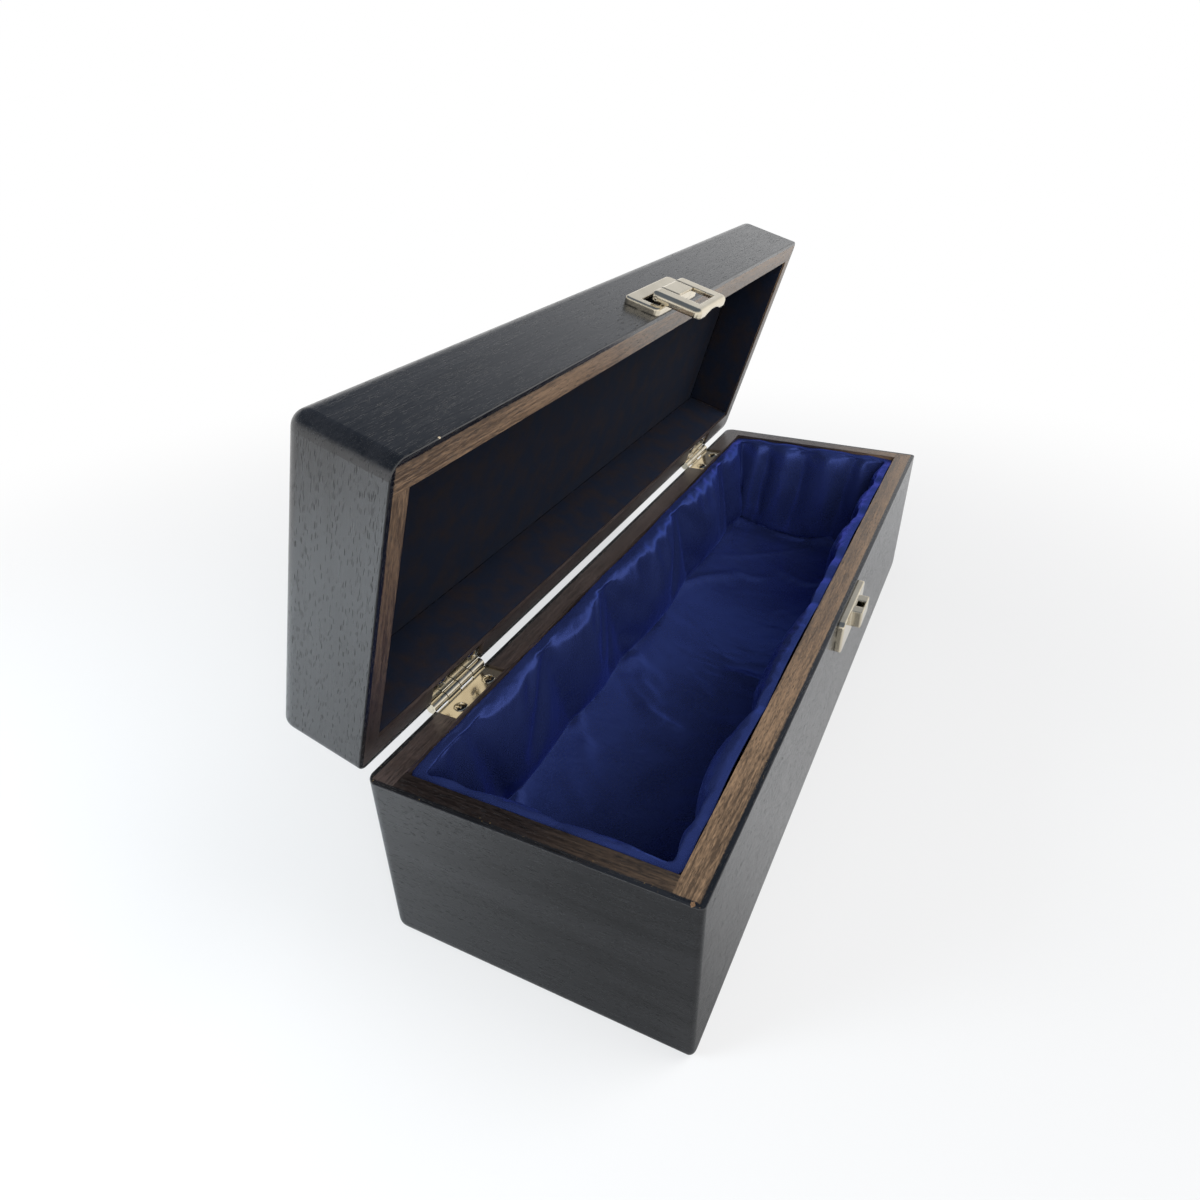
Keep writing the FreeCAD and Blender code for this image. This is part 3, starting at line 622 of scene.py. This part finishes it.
def nickel_plate(name, edge):
    """Polished nickel, with its edges shaded round over a radius."""
    material, tree, shader = new_material(name)
    clouds = noise_at(tree, object_place(tree), CLOUD_SCALE, 1.0)
    colour = mix_colour(tree, ramp(tree, clouds, 0.35, 0.75), NICKEL_COLOUR, NICKEL_SHADE)
    tree.links.new(colour, shader.inputs["Base Color"])
    tree.links.new(ramp(tree, clouds, 0.3, 0.7, 0.12, 0.17), shader.inputs["Roughness"])
    shader.inputs["Metallic"].default_value = 1.0
    if edge:
        rounded = place(tree, "Bevel", {"Radius": edge}, samples=6).outputs[0]
        tree.links.new(rounded, shader.inputs["Normal"])
    return material


nickel = nickel_plate("polished_nickel", 0.0)
pressed_nickel = nickel_plate("pressed_nickel", PRESSED_EDGE)
FITTINGS = [name for name in nodes if name.startswith(("hinge_", "latch_", "catch_"))]
for name in FITTINGS:
    dress(nodes[name], nickel if name.startswith("hinge_") else pressed_nickel)
print("nickel on", len(FITTINGS), "nodes")

# %% [markdown]
# ## Hinge screws
# Each leaf is held by two round-head screws with a cross recess. The solid screws have plain domes, so
# the screws are made again here. A boolean cut could sink the cross, but it leaves ragged faces on a dome.
# So the cross is drawn as a ring of points, bridged to the round edge of the head, domed, and then pushed
# down for the recess. The shank closes each screw below.

# %% Set the sizes and the moves of a screw
HEAD_RADIUS = 2.8 * MM
HEAD_HEIGHT = 0.9 * MM
SHANK_RADIUS = 1.3 * MM
SHANK_LENGTH = 6.0 * MM
SLOT_REACH = 1.75 * MM
SLOT_HALF = 0.42 * MM
SLOT_DEPTH = 1.1 * MM
SLOT_TAPER = 0.72
FIRST_TURN = 25
NEXT_TURN = 37
HEAD_POINTS = 32
DOME_RINGS = 5
SHARP_ANGLE = math.radians(35)


def ring_of(shape, points):
    """A closed ring of edges through some points."""
    verts = [shape.verts.new(point) for point in points]
    return [shape.edges.new((verts[index - 1], verts[index])) for index in range(len(verts))]


def pulled(shape, edges, scale, drop):
    """Extrude a ring of edges, shrink it and move it down. Gives back the new ring."""
    grown = bmesh.ops.extrude_edge_only(shape, edges=edges)["geom"]
    verts = [item for item in grown if isinstance(item, bmesh.types.BMVert)]
    bmesh.ops.scale(shape, vec=(scale, scale, 1), verts=verts)
    bmesh.ops.translate(shape, vec=(0, 0, -drop), verts=verts)
    return [item for item in grown if isinstance(item, bmesh.types.BMEdge)]


print("screw heads", round(2 * HEAD_RADIUS / MM, 1), "mm wide")


# %% Shape a screw
def screw_shape():
    """One screw with its head's seat at z = 0 and its dome upwards."""
    shape = bmesh.new()
    cross = []
    for quarter in range(4):
        turn = Matrix.Rotation(math.radians(90 * quarter), 3, "Z")
        for x, y in ((SLOT_REACH, -SLOT_HALF), (SLOT_REACH, SLOT_HALF), (SLOT_HALF, SLOT_HALF)):
            cross.append(turn @ Vector((x, y, 0)))
    cross_ring = ring_of(shape, cross)
    step = math.tau / HEAD_POINTS
    round_ring = ring_of(shape, [Vector((math.cos(index * step), math.sin(index * step), 0)) * HEAD_RADIUS
                                 for index in range(HEAD_POINTS)])
    bridged = bmesh.ops.bridge_loops(shape, edges=cross_ring + round_ring)
    bmesh.ops.subdivide_edges(shape, edges=bridged["edges"], cuts=DOME_RINGS)
    for vert in shape.verts:
        share = min(1.0, vert.co.xy.length / HEAD_RADIUS)
        vert.co.z = HEAD_HEIGHT * math.sqrt(1 - share * share)
    floor_ring = pulled(shape, cross_ring, SLOT_TAPER, SLOT_DEPTH)
    bmesh.ops.contextual_create(shape, geom=floor_ring)
    under = pulled(shape, round_ring, SHANK_RADIUS / HEAD_RADIUS, 0)
    tip = pulled(shape, under, 1.0, SHANK_LENGTH)
    bmesh.ops.contextual_create(shape, geom=tip)
    bmesh.ops.recalc_face_normals(shape, faces=shape.faces)
    return shape


def head_places(points):
    """The lowest and the highest corner of each screw, for the points of screws that stand apart along X."""
    ordered = sorted(points, key=lambda point: point.x)
    groups = [[ordered[0]]]
    for point in ordered[1:]:
        if point.x - groups[-1][-1].x > HEAD_RADIUS:
            groups.append([])
        groups[-1].append(point)
    return [corners_of(group) for group in groups]


base_points = [vertex.co.copy() for vertex in nodes["hinge_base_screws"].data.vertices]
print("screws", len(head_places(base_points)), "on each body")


# %% Make the screws
def hinge_screws(body, points, upwards, swing):
    """The four screws of one body, on the places of its solid screws."""
    node_name = "hinge_%s_screws" % body
    joined = bmesh.new()
    for index, (low, high) in enumerate(head_places(points)):
        shape = screw_shape()
        seat = high.z - HEAD_HEIGHT if upwards else low.z + HEAD_HEIGHT
        flip = Matrix.Identity(4) if upwards else Matrix.Rotation(math.pi, 4, "X")
        turn = Matrix.Rotation(math.radians(FIRST_TURN + NEXT_TURN * index), 4, "Z")
        middle = Vector(((low.x + high.x) / 2, (low.y + high.y) / 2, seat))
        moved = swing @ Matrix.Translation(middle) @ flip @ turn
        bmesh.ops.transform(shape, matrix=moved, verts=shape.verts)
        part = bpy.data.meshes.new("screw")
        shape.to_mesh(part)
        shape.free()
        joined.from_mesh(part)
        bpy.data.meshes.remove(part)
    four = make_piece(body + "_hinge_screws", joined)
    four.data.set_sharp_from_angle(angle=SHARP_ANGLE)
    dress(four, nickel)
    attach(four, body)
    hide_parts(node_name)
    return four


screws = [hinge_screws("base", base_points, True, Matrix.Identity(4)),
          hinge_screws("lid", shut_points("hinge_lid_screws"), False, SWING)]
print("made", [four.name for four in screws])

# %% [markdown]
# ## Felt in the lid
# The lid is lined with five glued panels of thin dark felt. A plain slab would look like card, so each
# panel is a closed slab with softened edges and a slightly uneven face, made where the solid lining lies
# with the lid shut, and swung open with it. The felt itself is matt, with a short nap that catches light at
# a glancing angle, and brown fibres mixed into the navy in soft patches.

# %% Build the felt finish
FELT_NAVY = (0.0068, 0.0096, 0.0185, 1)
FELT_BROWN = (0.0150, 0.0112, 0.0116, 1)
PATCH_SCALE = (95, 95, 95)
NAP_SCALE = (2600, 2600, 2600)
NAP_RELIEF = 0.12 * MM
felt_cloth, tree, shader = new_material("navy_felt")
spot = object_place(tree)
patches = noise_at(tree, spot, PATCH_SCALE, 5.0, Roughness=0.65)
nap = noise_at(tree, spot, NAP_SCALE, 3.0)
colour = mix_colour(tree, ramp(tree, patches, 0.42, 0.68), FELT_NAVY, FELT_BROWN)
colour = scaled_colour(tree, colour, ramp(tree, nap, 0.3, 0.7, 0.75, 1.25))
tree.links.new(colour, shader.inputs["Base Color"])
tree.links.new(ramp(tree, nap, 0.3, 0.7, 0.9, 1.0), shader.inputs["Roughness"])
shader.inputs["Specular IOR Level"].default_value = 0.15
shader.inputs["Sheen Weight"].default_value = 0.02
shader.inputs["Sheen Roughness"].default_value = 0.45
shader.inputs["Sheen Tint"].default_value = (0.45, 0.55, 0.85, 1)
add_bump(tree, shader, nap, 0.5, NAP_RELIEF)
print("felt finish has", len(tree.nodes), "nodes")

# %% Make the felt panels
FELT_CELL = 9 * MM
FELT_EDGE = 0.45 * MM
FELT_WAVE = 0.12 * MM
FELT_BOARDS = {"top": "lid_top_panel", "front": "lid_front_wall", "back": "lid_back_wall",
               "left": "lid_left_end", "right": "lid_right_end"}


def felt_panel(side):
    """One felt panel in the place of its solid lining."""
    node_name = "lid_lining_" + side
    low, high = corners_of(shut_points(node_name))
    size = high - low
    shape = bmesh.new()
    bmesh.ops.create_cube(shape, size=1.0)
    bmesh.ops.scale(shape, vec=size, verts=shape.verts)
    bmesh.ops.translate(shape, vec=(low + high) / 2, verts=shape.verts)
    bmesh.ops.bevel(shape, geom=shape.edges[:], offset=FELT_EDGE, segments=2, profile=0.5,
                    affect="EDGES", material=-1)
    for axis in range(3):
        cuts = int(size[axis] / FELT_CELL)
        long_edges = [edge for edge in shape.edges
                      if abs(edge.verts[0].co[axis] - edge.verts[1].co[axis]) > size[axis] / 2]
        bmesh.ops.subdivide_edges(shape, edges=long_edges, cuts=cuts, use_grid_fill=True)
    for vert in shape.verts:
        vert.co += vert.normal * FELT_WAVE * (noise.noise(vert.co / (4 * FELT_CELL)) - 1)
    bmesh.ops.transform(shape, matrix=SWING, verts=shape.verts)
    felt = make_piece("felt_" + side, shape)
    dress(felt, felt_cloth)
    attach(felt, "lid")
    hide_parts(node_name)
    return felt


felts = [felt_panel(side) for side in FELT_BOARDS]
print("felt panels", [felt.name for felt in felts])

# %% [markdown]
# ## The satin lining
# The base is lined with one loose tub of satin over wadding: walls with a soft rolled edge just below the
# rim, and a bed between them. The cloth is tucked here and there behind the roll, and what is spare
# between two tucks stands off in smooth billows. Real folds are hard to draw by hand, so the tub is cut
# roughly to shape, a little too full, and Blender's cloth solver lets it settle against the wadding.

# %% Set the places of the satin
WADDING = 4.2 * MM
ROLL_RADIUS = 2.9 * MM
ROLL_ARC = math.radians(115)
ROLL_TOP = BASE_RIM - 0.6 * MM
BED_PAD = 5.6 * MM
BED_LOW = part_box("base_lining_floor")[0].z + BED_PAD
BED_BEND = 110 * MM
CELL = 3.1 * MM
ROLL_ROWS = 7
TUB_X = INSIDE_RIGHT - WADDING
TUB_Y = INSIDE_BACK - WADDING


def bed_height(y):
    """The bed dips along the middle like a shallow trough."""
    return BED_LOW + y * y / (2 * BED_BEND)


WALL_LENGTH = ROLL_TOP - ROLL_RADIUS - bed_height(TUB_Y)
WALL_ROWS = round(WALL_LENGTH / CELL)
ALL_ROWS = WALL_ROWS + ROLL_ROWS

# For each wall, in millimetres: the places of its tucks, and how far the billow after each tuck stands off
TUCKS = {
    "back": ((-171, 3), (-147, 7), (-90, 9), (-34, 10), (57, 8), (131, 6), (171, 0)),
    "front": ((-169, 4), (-150, 9), (-90, 8), (-9, 3), (16, 3), (38, 7), (92, 6), (138, 5), (171, 0)),
    "left": ((-43, 5), (-7, 6), (26, 3), (43, 0)),
    "right": ((-43, 4), (-27, 6), (2, 7), (25, 5), (43, 0)),
}
TUCK_SLANT = {"back": 0.35, "front": 0.3, "left": -0.2, "right": 0.15}
print("tub", round(2 * TUB_X, 4), "by", round(2 * TUB_Y, 4), "wall", round(WALL_LENGTH, 4))


# %% Cut the tub
def tub_shape(half_x, half_y, height, rows):
    """An open box of even cells that stands on the plane z = 0, its faces turned inwards."""
    shape = bmesh.new()
    bmesh.ops.create_cube(shape, size=1.0)
    bmesh.ops.scale(shape, vec=(2 * half_x, 2 * half_y, height), verts=shape.verts)
    bmesh.ops.translate(shape, vec=(0, 0, height / 2), verts=shape.verts)
    cover = [face for face in shape.faces if face.normal.z > 0.5]
    bmesh.ops.delete(shape, geom=cover, context="FACES_ONLY")
    for axis, cells in enumerate((round(2 * half_x / CELL), round(2 * half_y / CELL), rows)):
        edges = [edge for edge in shape.edges
                 if abs((edge.verts[0].co - edge.verts[1].co).normalized()[axis]) > 0.5]
        bmesh.ops.subdivide_edges(shape, edges=edges, cuts=cells - 1, use_grid_fill=True)
    bmesh.ops.reverse_faces(shape, faces=shape.faces)
    return shape


satin_shape = tub_shape(TUB_X, TUB_Y, 1.0, ALL_ROWS)
threads = satin_shape.loops.layers.uv.new("threads")
for face in satin_shape.faces:
    across, up = (0, 1) if abs(face.normal.z) > 0.5 else (1 if abs(face.normal.x) > 0.5 else 0, 2)
    for loop in face.loops:
        height = loop.vert.co[up] if up == 1 else loop.vert.co.z * WALL_LENGTH
        loop[threads].uv = (loop.vert.co[across], height)
print("satin has", len(satin_shape.verts), "points and", len(satin_shape.faces), "cells")


# %% Find the billows of a wall
BILLOW_POWER = 0.7
CLOSE = 0.1 * MM


def billow(wall, along, drop):
    """How far the satin stands off at a place of a wall, and how near in millimetres a tuck is."""
    shifted = along / MM - TUCK_SLANT[wall] * drop / MM
    places = TUCKS[wall]
    for (start, fullness), (end, _) in zip(places, places[1:]):
        if start <= shifted <= end:
            share = (shifted - start) / (end - start)
            stand_off = fullness * MM * math.sin(math.pi * share) ** BILLOW_POWER
            return stand_off, min(shifted - start, end - shifted)
    return 0.0, 0.0


def walls_of(point):
    """The walls that a point of the tub lies on, with the direction out of each and the place along it."""
    found = []
    for name, axis, reach, sign in (("back", 1, TUB_Y, 1), ("front", 1, TUB_Y, -1),
                                    ("left", 0, TUB_X, -1), ("right", 0, TUB_X, 1)):
        if abs(point[axis] - sign * reach) < CLOSE:
            outward = Vector((0, 0, 0))
            outward[axis] = sign
            found.append((name, outward, point[1 - axis]))
    return found


print("tucks", {wall: len(places) for wall, places in TUCKS.items()})

# %% Shape the walls and the roll
# A tuck pulls the roll down over the first length along the wall, and is held over the second, in millimetres
DIP_REACH = 7.0
TUCK_HALF = 1.6
TUCK_DIP = 1.0 * MM
TUCK_FROM = 0.35
TUCK_HOLD = 0.6
ROLL_HOLD = 0.55
ROLL_LEAN = 0.45
PINNED_FROM = math.radians(80)
FULL_ARC = 0.78
FULL_FOOT = 0.12


def shaped(point):
    """The starting place of a point of the tub, and how firmly it is held."""
    walls = walls_of(point)
    row = round(point.z * ALL_ROWS)
    start = Vector((point.x, point.y, bed_height(point.y)))
    held = 0.0
    for name, outward, along in walls:
        if row <= WALL_ROWS:
            share = row / WALL_ROWS
            stand_off, tuck = billow(name, along, (1 - share) * WALL_LENGTH)
            arc = math.pi * FULL_ARC * (FULL_FOOT + (1 - FULL_FOOT) * share)
            fullness = math.sin(arc) if row else 0.0
            start -= outward * stand_off * fullness
            low = bed_height(point.y)
            start.z = low + share * (ROLL_TOP - ROLL_RADIUS - low)
            if tuck < TUCK_HALF and share > TUCK_FROM and len(walls) == 1:
                held = TUCK_HOLD
        else:
            turn = (row - WALL_ROWS) / ROLL_ROWS * ROLL_ARC
            stand_off, tuck = billow(name, along, 0.0)
            dip = TUCK_DIP * max(0.0, 1 - tuck / DIP_REACH)
            lean = ROLL_LEAN * stand_off * math.cos(turn / 2) ** 2
            start += outward * (ROLL_RADIUS * (1 - math.cos(turn)) - lean)
            start.z = ROLL_TOP - ROLL_RADIUS + ROLL_RADIUS * math.sin(turn) - dip
            held = 1.0 if turn > PINNED_FROM else max(held, ROLL_HOLD)
    return start, held


SIM_SCALE = 10.0
holds = []
for vertex in satin_shape.verts:
    start, held = shaped(vertex.co)
    vertex.co = start * SIM_SCALE
    holds.append(held)
satin = make_piece("satin_lining", satin_shape)
grip = satin.vertex_groups.new(name="held")
for index, held in enumerate(holds):
    if held:
        grip.add([index], held, "REPLACE")
print("held points", sum(1 for held in holds if held))

# %% Make the wadding that the satin settles on
WADDING_GAP = 1.2 * MM
WADDING_HEIGHT = BASE_RIM + 20 * MM
WADDING_ROWS = 4
WADDING_THICK = 8 * MM
wadding_shape = tub_shape(TUB_X + WADDING_GAP, TUB_Y + WADDING_GAP, WADDING_HEIGHT, WADDING_ROWS)
for vertex in wadding_shape.verts:
    if vertex.co.z < CLOSE:
        vertex.co.z = bed_height(vertex.co.y) - WADDING_GAP
bmesh.ops.solidify(wadding_shape, geom=wadding_shape.faces, thickness=WADDING_THICK)
bmesh.ops.scale(wadding_shape, vec=(SIM_SCALE,) * 3, verts=wadding_shape.verts)
wadding = make_piece("wadding", wadding_shape)
wadding.modifiers.new("wall", "COLLISION")
wadding.collision.thickness_outer = 0.004
wadding.collision.cloth_friction = 8.0
print("wadding has", len(wadding.data.polygons), "faces")

# %% Let the satin settle
SATIN_FRAMES = 36
SATIN_NATURE = {"quality": 8, "mass": 0.25, "tension_stiffness": 25, "compression_stiffness": 25,
                "shear_stiffness": 8, "bending_stiffness": 1.2, "tension_damping": 8,
                "compression_damping": 8, "bending_damping": 0.8, "air_damping": 2.0,
                "vertex_group_mass": "held", "pin_stiffness": 1.0, "shrink_min": -0.018,
                "use_pressure": True, "uniform_pressure_force": 0.6}
cloth = satin.modifiers.new("cloth", "CLOTH")
for name, value in SATIN_NATURE.items():
    setattr(cloth.settings, name, value)
cloth.collision_settings.distance_min = 0.006
cloth.collision_settings.collision_quality = 3
cloth.point_cache.frame_end = SATIN_FRAMES
for step in range(1, SATIN_FRAMES + 1):
    scene.frame_set(step)
graph = bpy.context.evaluated_depsgraph_get()
settled = bpy.data.meshes.new_from_object(satin.evaluated_get(graph), depsgraph=graph)
satin.modifiers.clear()
settled.transform(Matrix.Scale(1 / SIM_SCALE, 4))
satin.data = settled
scene.frame_set(1)
bpy.data.objects.remove(wadding)
low, high = corners_of(vertex.co for vertex in settled.vertices)
print("satin settled between", [round(v, 4) for v in low], "and", [round(v, 4) for v in high])

# %% Finish the satin piece
SATIN_THICK = 0.3 * MM
soften = satin.modifiers.new("soften", "SUBSURF")
soften.levels = 1
soften.render_levels = 1
satin.modifiers.new("thickness", "SOLIDIFY").thickness = SATIN_THICK
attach(satin, "base")
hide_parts(*["base_lining_" + side for side in ("floor", "front", "back", "left", "right")])

# %% Build the satin finish
SATIN_DEEP = (0.029, 0.043, 0.155, 1)
SATIN_LIT = (0.045, 0.069, 0.245, 1)
DRIFT_SCALE = (55, 55, 55)
WEAVE_SCALE = (5200, 900, 1)
CRINKLE_SCALE = (75, 38, 1)
WEAVE_RELIEF = 0.006
CRINKLE_RELIEF = 1.6 * MM
satin_cloth, tree, shader = new_material("royal_satin")
spot = object_place(tree)
drift = noise_at(tree, spot, DRIFT_SCALE)
tree.links.new(mix_colour(tree, drift, SATIN_DEEP, SATIN_LIT), shader.inputs["Base Color"])
weave_at = place(tree, "UVMap", uv_map="threads").outputs[0]
weave = noise_at(tree, weave_at, WEAVE_SCALE, 2.0)
threads_gloss = ramp(tree, weave, 0.3, 0.7, -0.04, 0.04)
gloss = math_node(tree, "ADD", ramp(tree, drift, 0.3, 0.7, 0.25, 0.32), threads_gloss)
tree.links.new(gloss, shader.inputs["Roughness"])
shader.inputs["Metallic"].default_value = 0.75
shader.inputs["Specular IOR Level"].default_value = 0.4
shader.inputs["Specular Tint"].default_value = (0.20, 0.32, 1.0, 1)
shader.inputs["Sheen Weight"].default_value = 0.06
shader.inputs["Sheen Roughness"].default_value = 0.30
shader.inputs["Sheen Tint"].default_value = (0.16, 0.26, 1.0, 1)
crinkle = noise_at(tree, weave_at, CRINKLE_SCALE, 3.0, Distortion=0.8)
relief = math_node(tree, "ADD", crinkle, math_node(tree, "MULTIPLY", weave, WEAVE_RELIEF))
add_bump(tree, shader, relief, 0.45, CRINKLE_RELIEF)
dress(satin, satin_cloth)
print("satin finish has", len(tree.nodes), "nodes")

# %% [markdown]
# ## Glints
# The room's lamps don't show in reflections, because the stained wood would mirror them as grey squares.
# Satin and polished metal do need a bright shape to mirror, or they look like paint. Blender can link a
# lamp to a few objects only, so three more lamps at the same places give the cloth and the fittings their
# glints.


# %% Link the glint lamps
def glint(name, place_at, size, power, pieces):
    """A lamp in reflections that lights only some pieces."""
    lamp = soft_box(name, place_at, size, power, mirrored=True)
    lit = bpy.data.collections.new(name + "_pieces")
    for piece in pieces:
        lit.objects.link(piece)
    lamp.light_linking.receiver_collection = lit


metal_pieces = [nodes[name] for name in FITTINGS] + screws
glint("window_on_satin", WINDOW_AT, LAMP_SIZE, power=3, pieces=[satin])
glint("side_on_satin", SIDE_AT, LAMP_SIZE, power=11, pieces=[satin])
glint("ceiling_on_nickel", CEILING_AT, LAMP_SIZE, power=4, pieces=metal_pieces)
